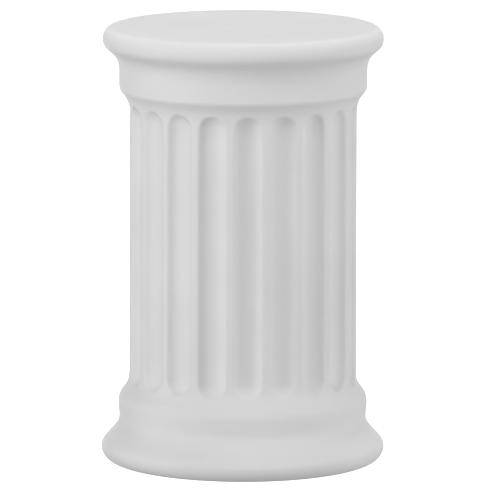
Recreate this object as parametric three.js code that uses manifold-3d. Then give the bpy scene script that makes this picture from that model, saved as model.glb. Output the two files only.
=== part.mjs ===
// A squat column-shaped pedestal, cast in one piece: a round slab with a cove and a plain band under it,
// a fluted shaft with stopped flutes, and a base whose mouldings mirror the capital's.
// It is a hollow casting, open underneath, that stands on a flat foot ring.
// Millimetres, +Z up, origin at the centre of the underside.
import * as THREE from "three";
import { mergeVertices } from "three/addons/utils/BufferGeometryUtils.js";
import Module from "manifold-3d";

const height = 450;

// Base, from the floor up: a rounded edge, a flare to the waist, a soft band and a slope to the shaft.
const baseRadius = 146.3;
const baseEdgeWidth = 15.1;
const baseEdgeHeight = 14.5;
const flareHeight = 31.3;
const waistRadius = 127.5;
const waistHeight = 15.2;
const baseBandRadius = 128.5;
const baseSlopeHeight = 27.6;

// How long each slope stays upright where it leaves below and arrives above, as shares of its height.
const flareUpright = [0.27, 0.45];
const baseSlopeUpright = [0.38, 0.43];
const capitalSlopeUpright = [0.78, 0.15];
const coveUpright = [0.76, 0.4];

// The shaft takes the height that the mouldings leave, and narrows a little as it rises.
const shaftFootRadius = 117.7;
const shaftTopRadius = 117.2;

// Capital, from the shaft up: a slope, a plain band, a cove and the slab's rounded edge.
const capitalSlopeHeight = 27.9;
const capitalBandRadius = 127.4;
const capitalBandHeight = 15.4;
const coveHeight = 34;
const slabRadius = 144.3;
const slabEdgeWidth = 9.8;
const slabEdgeHeight = 12.3;

// Flutes are round-bottomed, with round ends and flat fillets between them.
const fluteCount = 20;
const filletWidth = 7.2;
const fluteDepth = 8;
const fluteEndAboveShaftFoot = 8.6;
const fluteEndBelowShaftTop = 4;

// Inside of the casting.
const wallThickness = 9;
const slabThickness = 12;
const footRingWidth = 14;
const cavityCornerRadius = 12;

// How finely the curves are cut into facets.
const facetsPerFlute = 4;
const barFacets = 20;
const barEndSteps = 5;
const edgeSteps = 3;
const flareSteps = 5;
const slopeSteps = 4;

const flareFoot = baseEdgeHeight;
const waistFoot = flareFoot + flareHeight;
const baseBandTop = waistFoot + waistHeight;
const shaftFoot = baseBandTop + baseSlopeHeight;
const coveTop = height - slabEdgeHeight;
const coveFoot = coveTop - coveHeight;
const capitalBandFoot = coveFoot - capitalBandHeight;
const shaftTop = capitalBandFoot - capitalSlopeHeight;

// A stretch of the outline that leaves one radius and arrives at the next with the wall upright at
// both ends.
function slope(fromRadius, fromHeight, toRadius, toHeight, [leave, arrive], steps) {
  const rise = toHeight - fromHeight;
  const curve = new THREE.CubicBezierCurve(
    new THREE.Vector2(fromRadius, fromHeight),
    new THREE.Vector2(fromRadius, fromHeight + leave * rise),
    new THREE.Vector2(toRadius, toHeight - arrive * rise),
    new THREE.Vector2(toRadius, toHeight),
  );
  return curve.getPoints(steps);
}

// A quarter of an ellipse, between two angles in turns of the circle.
function quarter(centreRadius, centreHeight, width, rise, fromTurn, toTurn, steps) {
  const from = fromTurn * 2 * Math.PI;
  const to = toTurn * 2 * Math.PI;
  const curve = new THREE.EllipseCurve(centreRadius, centreHeight, width, rise, from, to, toTurn < fromTurn);
  return curve.getPoints(steps);
}

// The whole section of the casting, from the middle of the ceiling down the cavity, across the foot
// ring and up the outside to the middle of the top.
function sectionOutline() {
  const baseFlatRadius = baseRadius - baseEdgeWidth;
  const slabFlatRadius = slabRadius - slabEdgeWidth;
  const mouthRadius = baseFlatRadius - footRingWidth;
  const cavityRadius = shaftTopRadius - fluteDepth - wallThickness;
  const ceiling = height - slabThickness;
  const corner = cavityCornerRadius;
  return [
    new THREE.Vector2(0, ceiling),
    ...quarter(cavityRadius - corner, ceiling - corner, corner, corner, 0.25, 0, edgeSteps),
    new THREE.Vector2(cavityRadius, shaftFoot),
    new THREE.Vector2(mouthRadius, 0),
    ...quarter(baseFlatRadius, baseEdgeHeight, baseEdgeWidth, baseEdgeHeight, -0.25, 0, edgeSteps),
    ...slope(baseRadius, flareFoot, waistRadius, waistFoot, flareUpright, flareSteps).slice(1),
    ...slope(baseBandRadius, baseBandTop, shaftFootRadius, shaftFoot, baseSlopeUpright, slopeSteps),
    ...slope(shaftTopRadius, shaftTop, capitalBandRadius, capitalBandFoot, capitalSlopeUpright, slopeSteps),
    ...slope(capitalBandRadius, coveFoot, slabRadius, coveTop, coveUpright, flareSteps),
    ...quarter(slabFlatRadius, coveTop, slabEdgeWidth, slabEdgeHeight, 0, 0.25, edgeSteps).slice(1),
    new THREE.Vector2(0, height),
  ];
}

// Turns an outline about +Z, with the middle of a facet facing -Y.
function turned(outline, facets) {
  const geometry = new THREE.LatheGeometry(outline, facets, Math.PI / facets, 2 * Math.PI);
  geometry.rotateX(Math.PI / 2);
  return geometry;
}

// A round-ended bar that cuts one flute. Its radius gives the flute its width and depth.
function fluteCutter(fluteWidth) {
  const barRadius = (fluteWidth ** 2 / 4 + fluteDepth ** 2) / (2 * fluteDepth);
  const lowEnd = shaftFoot + fluteEndAboveShaftFoot;
  const highEnd = shaftTop - fluteEndBelowShaftTop;
  const outline = [
    ...quarter(0, 0, barRadius, barRadius, -0.25, 0, barEndSteps),
    ...quarter(0, highEnd - lowEnd, barRadius, barRadius, 0, 0.25, barEndSteps),
  ];
  const geometry = turned(outline, barFacets);
  geometry.rotateY(Math.atan2(shaftTopRadius - shaftFootRadius, shaftTop - shaftFoot));
  geometry.translate(shaftFootRadius + barRadius - fluteDepth, 0, lowEnd);
  return geometry;
}

const wasm = await Module();
wasm.setup();

// Merges a geometry's shared vertices and drops the triangles that close to a line at the axis.
function solidFrom(geometry) {
  geometry.deleteAttribute("normal");
  geometry.deleteAttribute("uv");
  const merged = mergeVertices(geometry, 1e-4);
  const corners = [];
  const index = merged.index.array;
  for (let i = 0; i < index.length; i += 3) {
    const [a, b, c] = index.slice(i, i + 3);
    if (a !== b && b !== c && c !== a) {
      corners.push(a, b, c);
    }
  }
  return new wasm.Manifold(new wasm.Mesh({
    numProp: 3,
    vertProperties: new Float32Array(merged.attributes.position.array),
    triVerts: new Uint32Array(corners),
  }));
}

function geometryFrom(solid) {
  const mesh = solid.getMesh();
  const geometry = new THREE.BufferGeometry();
  geometry.setAttribute("position", new THREE.BufferAttribute(mesh.vertProperties, 3));
  geometry.setIndex(new THREE.BufferAttribute(mesh.triVerts, 1));
  geometry.computeVertexNormals();
  return geometry;
}

function columnGeometry() {
  const pitch = 2 * Math.PI / fluteCount;
  const fluteWidth = 2 * shaftFootRadius * Math.sin(pitch / 2) - filletWidth;
  let column = solidFrom(turned(sectionOutline(), fluteCount * facetsPerFlute));
  for (let i = 0; i < fluteCount; i += 1) {
    const cutter = fluteCutter(fluteWidth);
    cutter.rotateZ((i + 0.5) * pitch);
    column = column.subtract(solidFrom(cutter));
  }
  return geometryFrom(column);
}

const mattWhite = new THREE.MeshStandardMaterial({ color: 0xdddddd, roughness: 0.7, metalness: 0 });

const column = new THREE.Mesh(columnGeometry(), mattWhite);
column.name = "column";

const group = new THREE.Group();
group.add(column);

export default group;
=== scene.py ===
# Squat column pedestal in matt white ceramic, on a pale studio floor
import math
import bpy
from mathutils import Matrix, Vector


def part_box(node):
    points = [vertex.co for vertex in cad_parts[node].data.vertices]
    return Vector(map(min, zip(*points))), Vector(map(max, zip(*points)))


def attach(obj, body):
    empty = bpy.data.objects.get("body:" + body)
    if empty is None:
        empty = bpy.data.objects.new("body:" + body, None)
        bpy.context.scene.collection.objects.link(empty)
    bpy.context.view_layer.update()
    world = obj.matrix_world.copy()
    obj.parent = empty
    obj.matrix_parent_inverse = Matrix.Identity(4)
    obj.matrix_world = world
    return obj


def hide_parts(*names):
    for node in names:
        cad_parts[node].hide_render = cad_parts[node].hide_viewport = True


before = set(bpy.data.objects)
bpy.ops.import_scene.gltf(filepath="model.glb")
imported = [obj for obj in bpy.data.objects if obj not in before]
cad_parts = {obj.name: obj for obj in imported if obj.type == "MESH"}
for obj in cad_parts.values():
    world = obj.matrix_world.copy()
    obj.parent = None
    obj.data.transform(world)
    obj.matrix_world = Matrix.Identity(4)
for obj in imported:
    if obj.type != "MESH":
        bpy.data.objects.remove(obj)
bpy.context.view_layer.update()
columnLow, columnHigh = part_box("column")
middle = Vector((0, 0, (columnLow[2] + columnHigh[2]) / 2))
print("frame loaded")


# Camera: a long lens, a little above the slab
photo = {
    "size": 500,                     # pixels, both ways
    "columnCentre": (242.9, 243.2),  # where the middle of the column shows
    "distanceInPixels": 7500,        # camera distance, in pixels at the column
    "metresPerPixel": 0.0010297,
    "elevation": math.radians(9.06),
    "turn": math.radians(6.5),       # the camera stands this far to the right of the front fillet
    "roll": math.radians(0.12),      # the picture leans a little to the right
    "sensor": 36.0,
    "clipEnd": 80.0,                 # metres, past the floor's far corner
}


def addCamera():
    data = bpy.data.cameras.new("camera")
    data.sensor_width = photo["sensor"]
    data.lens = photo["distanceInPixels"] / photo["size"] * photo["sensor"]
    data.clip_end = photo["clipEnd"]
    camera = bpy.data.objects.new("camera", data)
    bpy.context.collection.objects.link(camera)

    azimuth = photo["turn"] - math.pi / 2
    flat = math.cos(photo["elevation"])
    rise = math.sin(photo["elevation"])
    towards = Vector((math.cos(azimuth) * flat, math.sin(azimuth) * flat, rise))
    level = towards.to_track_quat("Z", "Y").to_matrix()
    camera.rotation_euler = (level @ Matrix.Rotation(photo["roll"], 3, "Z")).to_euler()

    # The column's middle is off the picture's, so the camera moves aside and down
    scale = photo["metresPerPixel"]
    half = photo["size"] / 2
    right = camera.rotation_euler.to_matrix() @ Vector((1, 0, 0))
    up = camera.rotation_euler.to_matrix() @ Vector((0, 1, 0))
    aside = (half - photo["columnCentre"][0]) * scale
    below = (half - photo["columnCentre"][1]) * scale
    distance = photo["distanceInPixels"] * scale
    camera.location = middle + towards * distance + right * aside - up * below
    bpy.context.scene.camera = camera


def setView():
    view = bpy.context.scene.view_settings
    view.view_transform = "Standard"
    view.look = "None"


# Studio: white floor, light from all round, one overhead, a key, one behind and rings of soft panels
studio = {
    # Strength of the light from all round, which fades from the horizon's to the other two
    "zenith": 0.0,
    "horizon": 0.532,
    "nadir": 0.275,
    "fadeEnd": 0.35,                 # where the fade upwards ends, as the sine of the angle
    "floorTone": (0.9, 0.9, 0.9),
    "floorGlow": 1.05,
    "floorRoughness": 0.9,
    "floorSpecular": 0.1,
    "floorSize": 60.0,
    "floorGap": 0.0003,              # keeps the floor clear of the foot ring
    "lights": {
        "topLight": {"place": (0.0, -0.1, 2.3), "size": 0.7, "power": 8.7},
        "keyLight": {"place": (-1.6, -2.0, 1.9), "size": 1.8, "power": 25.0},
        "backLight": {"place": (0.0, 1.2, 2.3), "size": 1.2, "power": 22.0},
    },
    # Each power in a ring stands after its panel's angle, in degrees to the right of the front
    "rings": {
        "sidePanel": {"height": 0.6, "distance": 2.8, "size": 1.2,
                      "powers": {-68.5: 7.4, -43.5: 12.7, 31.5: 7.0, 81.5: 26.8, 111.5: 7.0}},
        "underPanel": {"height": -1.0, "distance": 2.6, "size": 1.4,
                       "powers": {-73.5: 6.6, 6.5: 5.7}},
        "highPanel": {"height": 2.19, "distance": 1.38, "size": 1.2,
                      "powers": {-20.0: 7.7, 60.0: 6.4}},
        "backPanel": {"height": -0.2, "distance": 2.8, "size": 1.2,
                      "powers": {170.0: 7.0, 190.0: 9.0, 210.0: 10.0}},
    },
}


def addSoftLight(name, place, size, power):
    data = bpy.data.lights.new(name, "AREA")
    data.shape = "DISK"
    data.size = size
    data.energy = power
    light = bpy.data.objects.new(name, data)
    light.location = place
    light.rotation_euler = (Vector(place) - middle).to_track_quat("Z", "Y").to_euler()
    bpy.context.collection.objects.link(light)


def addLights():
    for name, light in studio["lights"].items():
        addSoftLight(name, light["place"], light["size"], light["power"])
    for name, ring in studio["rings"].items():
        for side, power in ring["powers"].items():
            right = math.sin(math.radians(side)) * ring["distance"]
            front = math.cos(math.radians(side)) * ring["distance"]
            addSoftLight(name, (right, -front, ring["height"]), ring["size"], power)


def mapRange(tree, value, fromSpan, toSpan):
    # A node that carries one span of values over to another, and stops at its ends
    node = tree.nodes.new("ShaderNodeMapRange")
    names = ("From Min", "From Max", "To Min", "To Max")
    for name, limit in zip(names, (*fromSpan, *toSpan)):
        node.inputs[name].default_value = limit
    tree.links.new(value, node.inputs["Value"])
    return node.outputs["Result"]


def addSurround():
    world = bpy.data.worlds.new("surround")
    bpy.context.scene.world = world
    world.use_nodes = True
    tree = world.node_tree
    split = tree.nodes.new("ShaderNodeSeparateXYZ")
    tree.links.new(tree.nodes.new("ShaderNodeTexCoord").outputs["Generated"], split.inputs[0])
    height = split.outputs["Z"]
    upwards = mapRange(tree, height, (0, studio["fadeEnd"]), (studio["horizon"], studio["zenith"]))
    downwards = mapRange(tree, height, (-1, 0), (studio["nadir"] - studio["horizon"], 0))
    total = tree.nodes.new("ShaderNodeMath")
    total.operation = "ADD"
    tree.links.new(upwards, total.inputs[0])
    tree.links.new(downwards, total.inputs[1])
    background = tree.nodes["Background"]
    background.inputs["Color"].default_value = (1, 1, 1, 1)
    tree.links.new(total.outputs[0], background.inputs["Strength"])


def addFloor():
    place = (0, 0, columnLow[2] - studio["floorGap"])
    bpy.ops.mesh.primitive_plane_add(size=studio["floorSize"], location=place)
    floor = bpy.context.object
    floor.name = "floor"
    paint = bpy.data.materials.new("floorPaint")
    paint.use_nodes = True
    shader = paint.node_tree.nodes["Principled BSDF"]
    shader.inputs["Base Color"].default_value = (*studio["floorTone"], 1)
    shader.inputs["Roughness"].default_value = studio["floorRoughness"]
    shader.inputs["Specular IOR Level"].default_value = studio["floorSpecular"]
    shader.inputs["Emission Color"].default_value = (1, 1, 1, 1)
    shader.inputs["Emission Strength"].default_value = studio["floorGlow"]
    floor.data.materials.append(paint)
    # Only the camera sees the floor: it sends no light up under the mouldings, and lets the
    # light of the panels below it through
    floor.visible_diffuse = False
    floor.visible_glossy = False
    floor.visible_shadow = False


# Matt ceramic: a faintly mottled body, dry to the touch, with the fine tooth of an unglazed casting.
# Each noise has its scale and its detail
ceramic = {
    "tone": (0.72, 0.72, 0.72),
    "mottle": 0.018,                 # how far the tone drifts
    "mottleNoise": (9.0, 5),
    "roughness": (0.60, 0.70),
    "roughnessNoise": (40.0, 3),
    "specular": 0.18,
    "ior": 1.5,
    "swellHeight": 0.0004,           # slow unevenness of the mould
    "swellNoise": (14.0, 2),
    "toothHeight": 0.00004,
    "toothNoise": (900.0, 3),
    "noiseSpan": (0.3, 0.7),         # most of a noise lies between these
}


def addCeramic():
    material = bpy.data.materials.new("mattCeramic")
    material.use_nodes = True
    tree = material.node_tree
    shader = tree.nodes["Principled BSDF"]
    shader.inputs["Specular IOR Level"].default_value = ceramic["specular"]
    shader.inputs["IOR"].default_value = ceramic["ior"]
    place = tree.nodes.new("ShaderNodeTexCoord").outputs["Object"]

    def noise(name):
        scale, detail = ceramic[name]
        node = tree.nodes.new("ShaderNodeTexNoise")
        node.inputs["Scale"].default_value = scale
        node.inputs["Detail"].default_value = detail
        tree.links.new(place, node.inputs["Vector"])
        return node.outputs["Fac"]

    def raised(value, height, below=None):
        node = tree.nodes.new("ShaderNodeBump")
        node.inputs["Strength"].default_value = 1
        node.inputs["Distance"].default_value = height
        tree.links.new(value, node.inputs["Height"])
        if below:
            tree.links.new(below, node.inputs["Normal"])
        return node.outputs["Normal"]

    mottle = mapRange(tree, noise("mottleNoise"), ceramic["noiseSpan"], (0, 1))
    mix = tree.nodes.new("ShaderNodeMix")
    mix.data_type = "RGBA"
    mix.inputs["A"].default_value = (*(c - ceramic["mottle"] for c in ceramic["tone"]), 1)
    mix.inputs["B"].default_value = (*(c + ceramic["mottle"] for c in ceramic["tone"]), 1)
    tree.links.new(mottle, mix.inputs["Factor"])
    tree.links.new(mix.outputs["Result"], shader.inputs["Base Color"])
    roughness = mapRange(tree, noise("roughnessNoise"), ceramic["noiseSpan"], ceramic["roughness"])
    tree.links.new(roughness, shader.inputs["Roughness"])
    swell = raised(noise("swellNoise"), ceramic["swellHeight"])
    tooth = raised(noise("toothNoise"), ceramic["toothHeight"], swell)
    tree.links.new(tooth, shader.inputs["Normal"])
    return material


# The column, in metres
column = {
    "baseEdge": (0.0151, 0.0145),    # width and height of the rounded foot
    "flareHeight": 0.0313,
    "waistRadius": 0.1275,
    "waistHeight": 0.0152,
    "baseBandRadius": 0.1285,
    "baseSlopeHeight": 0.0276,
    "shaftFootRadius": 0.1177,
    "shaftTopRadius": 0.1172,
    "capitalSlopeHeight": 0.0279,
    "capitalBandRadius": 0.1274,
    "capitalBandHeight": 0.0154,
    "coveHeight": 0.0340,
    "slabRadius": 0.1443,
    "slabEdge": (0.0098, 0.0123),
    # How long each slope stays upright below and above, as shares of its height
    "flareUpright": (0.32, 0.42),
    "waistUpright": (0.4, 0.4),
    "baseSlopeUpright": (0.47, 0.49),
    "capitalSlopeUpright": (0.75, 0.25),
    "coveUpright": (0.73, 0.42),
    # Inside of the casting
    "wall": 0.009,
    "slabThickness": 0.012,
    "footRingWidth": 0.014,
    "cavityCorner": 0.012,
    # Flutes
    "fluteCount": 20,
    "filletWidth": 0.0072,
    "fluteDepth": 0.0080,
    "barCentreOutside": 0.0050,      # smaller makes the flutes' walls steeper
    "fluteEndAboveShaftFoot": 0.0086,
    "fluteEndBelowShaftTop": 0.0040,
    "arrisSoftness": 0.0006,
    # How finely the surface is cut: facets across a flute and its fillet, and steps up the section
    "facetsPerFlute": 26,
    "steps": {
        "ceiling": 6, "cavityCorner": 6, "cavityWall": 12, "mouth": 6,
        "baseEdge": 10, "flare": 16, "waist": 6, "baseSlope": 24, "shaftFoot": 8, "shaft": 14,
        "capitalSlope": 26, "capitalBand": 3, "cove": 20, "slabEdge": 8, "slabTop": 8,
    },
    "mergeDistance": 0.00001,        # closes the seam and the two poles
}


def slope(fromPoint, toPoint, upright, steps):
    # A cubic curve, upright at both ends
    fromRadius, fromHeight = fromPoint
    toRadius, toHeight = toPoint
    leave, arrive = upright
    rise = toHeight - fromHeight
    ends = ((fromRadius, fromHeight), (fromRadius, fromHeight + leave * rise),
            (toRadius, toHeight - arrive * rise), (toRadius, toHeight))
    points = []
    for i in range(1, steps + 1):
        t = i / steps
        weights = ((1 - t) ** 3, 3 * (1 - t) ** 2 * t, 3 * (1 - t) * t ** 2, t ** 3)
        points.append(tuple(sum(w * p[k] for w, p in zip(weights, ends)) for k in (0, 1)))
    return points


def quarter(centre, size, fromTurn, toTurn, steps):
    # A quarter of an ellipse, between two angles in turns of the circle
    points = []
    for i in range(1, steps + 1):
        angle = 2 * math.pi * (fromTurn + (toTurn - fromTurn) * i / steps)
        points.append((centre[0] + size[0] * math.cos(angle), centre[1] + size[1] * math.sin(angle)))
    return points


def straight(fromPoint, toPoint, steps):
    points = []
    for i in range(1, steps + 1):
        points.append(tuple(a + (b - a) * i / steps for a, b in zip(fromPoint, toPoint)))
    return points


def columnLevels():
    # Heights of the mouldings' joins, from the floor up
    bottom, top = columnLow[2], columnHigh[2]
    level = {"baseEdge": bottom + column["baseEdge"][1]}
    level["waist"] = level["baseEdge"] + column["flareHeight"]
    level["baseBand"] = level["waist"] + column["waistHeight"]
    level["shaftFoot"] = level["baseBand"] + column["baseSlopeHeight"]
    level["slabEdge"] = top - column["slabEdge"][1]
    level["cove"] = level["slabEdge"] - column["coveHeight"]
    level["capitalBand"] = level["cove"] - column["capitalBandHeight"]
    level["shaftTop"] = level["capitalBand"] - column["capitalSlopeHeight"]
    level["fluteLow"] = level["shaftFoot"] + column["fluteEndAboveShaftFoot"]
    level["fluteHigh"] = level["shaftTop"] - column["fluteEndBelowShaftTop"]
    return level


def insideSection(level, mouthRadius):
    # From the middle of the ceiling, down the cavity to the foot ring
    steps = column["steps"]
    radius = column["shaftTopRadius"] - column["fluteDepth"] - column["wall"]
    ceiling = columnHigh[2] - column["slabThickness"]
    corner = column["cavityCorner"]
    cornerCentre = (radius - corner, ceiling - corner)
    points = [(0, ceiling)]
    points += straight(points[-1], (radius - corner, ceiling), steps["ceiling"])
    points += quarter(cornerCentre, (corner, corner), 0.25, 0, steps["cavityCorner"])
    points += straight(points[-1], (radius, level["shaftFoot"]), steps["cavityWall"])
    points += straight(points[-1], (mouthRadius, columnLow[2]), steps["mouth"])
    return points


def outsideSection(level, footRadius):
    # From the foot ring, up the mouldings to the middle of the top
    steps = column["steps"]
    waist = (column["waistRadius"], level["waist"])
    baseBand = (column["baseBandRadius"], level["baseBand"])
    shaftFoot = (column["shaftFootRadius"], level["shaftFoot"])
    fluteLow = (column["shaftFootRadius"], level["fluteLow"])
    shaftTop = (column["shaftTopRadius"], level["shaftTop"])
    bandFoot = (column["capitalBandRadius"], level["capitalBand"])
    bandTop = (column["capitalBandRadius"], level["cove"])
    slabFoot = (column["slabRadius"], level["slabEdge"])
    slabFlat = (column["slabRadius"] - column["slabEdge"][0], level["slabEdge"])
    points = [(footRadius, columnLow[2])]
    points += quarter((footRadius, level["baseEdge"]), column["baseEdge"], -0.25, 0, steps["baseEdge"])
    points += slope(points[-1], waist, column["flareUpright"], steps["flare"])
    points += slope(points[-1], baseBand, column["waistUpright"], steps["waist"])
    points += slope(points[-1], shaftFoot, column["baseSlopeUpright"], steps["baseSlope"])
    points += straight(points[-1], fluteLow, steps["shaftFoot"])
    points += straight(points[-1], shaftTop, steps["shaft"])
    points += slope(points[-1], bandFoot, column["capitalSlopeUpright"], steps["capitalSlope"])
    points += straight(points[-1], bandTop, steps["capitalBand"])
    points += slope(points[-1], slabFoot, column["coveUpright"], steps["cove"])
    points += quarter(slabFlat, column["slabEdge"], 0, 0.25, steps["slabEdge"])
    points += straight(points[-1], (0, columnHigh[2]), steps["slabTop"])
    return points


class NodeSheet:
    # Small helper for wiring a geometry tree
    def __init__(self, name):
        self.tree = bpy.data.node_groups.new(name, "GeometryNodeTree")
        self.tree.is_modifier = True

    def socket(self, name, kind, way="INPUT"):
        self.tree.interface.new_socket(name, in_out=way, socket_type=kind)

    def add(self, kind, inputs=None):
        node = self.tree.nodes.new(kind)
        for name, value in (inputs or {}).items():
            self.feed(value, node.inputs[name])
        return node

    def feed(self, value, target):
        if isinstance(value, bpy.types.NodeSocket):
            self.tree.links.new(value, target)
        else:
            target.default_value = value

    def calc(self, operation, *values):
        node = self.tree.nodes.new("ShaderNodeMath")
        node.operation = operation
        for value, target in zip(values, node.inputs):
            self.feed(value, target)
        return node.outputs[0]


def columnTree():
    # Wraps a grid round the section and presses the flutes in with a soft arris
    sheet = NodeSheet("flutedColumn")
    calc = sheet.calc
    sheet.socket("Geometry", "NodeSocketGeometry", "OUTPUT")
    sheet.socket("Section", "NodeSocketGeometry")
    for name in ("Section Points", "Outside From", "Flutes", "Facets Per Flute"):
        sheet.socket(name, "NodeSocketInt")
    for name in ("Bar Half Width", "Bar Half Depth", "Axis Radius Foot", "Axis Radius Top",
                 "Shaft Foot", "Shaft Top", "Flute Low", "Flute High", "Widest Fluted",
                 "Arris Softness", "Merge Distance"):
        sheet.socket(name, "NodeSocketFloat")
    sheet.socket("Material", "NodeSocketMaterial")
    given = sheet.add("NodeGroupInput").outputs
    sectionPoints = given["Section Points"]

    facets = calc("MULTIPLY", given["Flutes"], given["Facets Per Flute"])
    grid = sheet.add("GeometryNodeMeshGrid", {
        "Vertices X": calc("ADD", facets, 1), "Vertices Y": sectionPoints,
    })

    # Each upright line of the grid is the section, at its own turn about the axis.
    # The half keeps the division clear of rounding
    index = sheet.add("GeometryNodeInputIndex").outputs[0]
    line = calc("FLOOR", calc("DIVIDE", calc("ADD", index, 0.5), sectionPoints))
    row = calc("SUBTRACT", index, calc("MULTIPLY", line, sectionPoints))
    turn = calc("DIVIDE", calc("MULTIPLY", line, 2 * math.pi), facets)
    sample = sheet.add("GeometryNodeSampleIndex")
    sample.data_type = "FLOAT_VECTOR"
    sheet.feed(given["Section"], sample.inputs["Geometry"])
    sheet.feed(sheet.add("GeometryNodeInputPosition").outputs[0], sample.inputs["Value"])
    sheet.feed(row, sample.inputs["Index"])
    split = sheet.add("ShaderNodeSeparateXYZ", {"Vector": sample.outputs[0]})
    radius = split.outputs["X"]
    height = split.outputs["Z"]

    # How far from the axis an oval bar with round ends would cut into this point of the surface.
    # The bar leans with the shaft, and a fillet stands where the turn is nothing
    pitch = calc("DIVIDE", 2 * math.pi, given["Flutes"])
    aside = calc("SUBTRACT", calc("WRAP", turn, pitch, 0), calc("MULTIPLY", pitch, 0.5))
    under = calc("SUBTRACT", given["Flute Low"], height)
    over = calc("SUBTRACT", height, given["Flute High"])
    past = calc("MAXIMUM", calc("MAXIMUM", under, over), 0)
    lean = sheet.add("ShaderNodeMapRange", {
        "Value": height, "From Min": given["Shaft Foot"], "From Max": given["Shaft Top"],
        "To Min": given["Axis Radius Foot"], "To Max": given["Axis Radius Top"],
    })
    lean.clamp = False
    axis = lean.outputs["Result"]
    acrossSquare = calc("POWER", calc("MULTIPLY", axis, calc("SINE", aside)), 2)
    widthSquare = calc("SUBTRACT", calc("POWER", given["Bar Half Width"], 2), calc("POWER", past, 2))
    reach = calc("SUBTRACT", widthSquare, acrossSquare)
    bulge = calc("MULTIPLY", calc("SIGN", reach), calc("SQRT", calc("ABSOLUTE", reach)))
    flatness = calc("DIVIDE", given["Bar Half Depth"], given["Bar Half Width"])
    barAxis = calc("MULTIPLY", axis, calc("COSINE", aside))
    bar = calc("SUBTRACT", barAxis, calc("MULTIPLY", flatness, bulge))

    # The surface is pressed in by what stands proud of the bar, with a soft start
    proud = calc("SUBTRACT", calc("MINIMUM", radius, given["Widest Fluted"]), bar)
    softSquare = calc("ADD", calc("POWER", proud, 2), calc("POWER", given["Arris Softness"], 2))
    cut = calc("MULTIPLY", calc("ADD", proud, calc("SQRT", softSquare)), 0.5)
    outside = calc("GREATER_THAN", row, calc("SUBTRACT", given["Outside From"], 0.5))
    pressed = calc("SUBTRACT", radius, calc("MULTIPLY", cut, outside))

    place = sheet.add("ShaderNodeCombineXYZ", {
        "X": calc("MULTIPLY", pressed, calc("COSINE", turn)),
        "Y": calc("MULTIPLY", pressed, calc("SINE", turn)),
        "Z": height,
    })
    wrapped = sheet.add("GeometryNodeSetPosition", {
        "Geometry": grid.outputs["Mesh"], "Position": place.outputs[0],
    })
    closed = sheet.add("GeometryNodeMergeByDistance", {
        "Geometry": wrapped.outputs[0], "Distance": given["Merge Distance"],
    })
    smooth = sheet.add("GeometryNodeSetShadeSmooth", {"Geometry": closed.outputs[0]})
    real = sheet.add("GeometryNodeRealizeInstances", {"Geometry": smooth.outputs[0]})
    painted = sheet.add("GeometryNodeSetMaterial", {
        "Geometry": real.outputs[0], "Material": given["Material"],
    })
    sheet.add("NodeGroupOutput", {"Geometry": painted.outputs[0]})
    return sheet.tree


def addColumn(material):
    level = columnLevels()
    footRadius = (columnHigh[0] - columnLow[0]) / 2 - column["baseEdge"][0]
    inside = insideSection(level, footRadius - column["footRingWidth"])
    section = inside + outsideSection(level, footRadius)
    guideMesh = bpy.data.meshes.new("sectionGuide")
    lines = [(i, i + 1) for i in range(len(section) - 1)]
    guideMesh.from_pydata([(radius, 0, height) for radius, height in section], lines, [])
    guide = bpy.data.objects.new("sectionGuide", guideMesh)
    bpy.context.collection.objects.link(guide)

    # The bar's axis stands outside the shaft's face, so the bar is wider than the flute that it leaves
    pitch = 2 * math.pi / column["fluteCount"]
    fluteWidth = 2 * column["shaftFootRadius"] * math.sin(pitch / 2) - column["filletWidth"]
    outsideBy = column["barCentreOutside"]
    barHalfDepth = column["fluteDepth"] + outsideBy
    barHalfWidth = fluteWidth / 2 / math.sqrt(1 - (outsideBy / barHalfDepth) ** 2)
    values = {
        "Section Points": len(section), "Outside From": len(inside),
        "Flutes": column["fluteCount"], "Facets Per Flute": column["facetsPerFlute"],
        "Bar Half Width": barHalfWidth, "Bar Half Depth": barHalfDepth,
        "Axis Radius Foot": column["shaftFootRadius"] + outsideBy,
        "Axis Radius Top": column["shaftTopRadius"] + outsideBy,
        "Shaft Foot": level["shaftFoot"], "Shaft Top": level["shaftTop"],
        "Flute Low": level["fluteLow"], "Flute High": level["fluteHigh"],
        "Widest Fluted": column["baseBandRadius"], "Arris Softness": column["arrisSoftness"],
        "Merge Distance": column["mergeDistance"], "Material": material,
    }
    modifier = guide.modifiers.new("fluting", "NODES")
    modifier.node_group = columnTree()
    for item in modifier.node_group.interface.items_tree:
        if item.in_out == "INPUT" and item.name in values:
            modifier[item.identifier] = values[item.name]

    ready = guide.evaluated_get(bpy.context.evaluated_depsgraph_get())
    mesh = bpy.data.meshes.new_from_object(ready)
    mesh.name = "columnCasting"
    piece = bpy.data.objects.new("columnCasting", mesh)
    bpy.context.collection.objects.link(piece)
    bpy.data.objects.remove(guide)
    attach(piece, "root")
    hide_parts("column")
    print("column:", len(mesh.polygons), "faces")


addCamera()
setView()
print("camera placed")
addLights()
addSurround()
addFloor()
print("lights and floor placed")
addColumn(addCeramic())
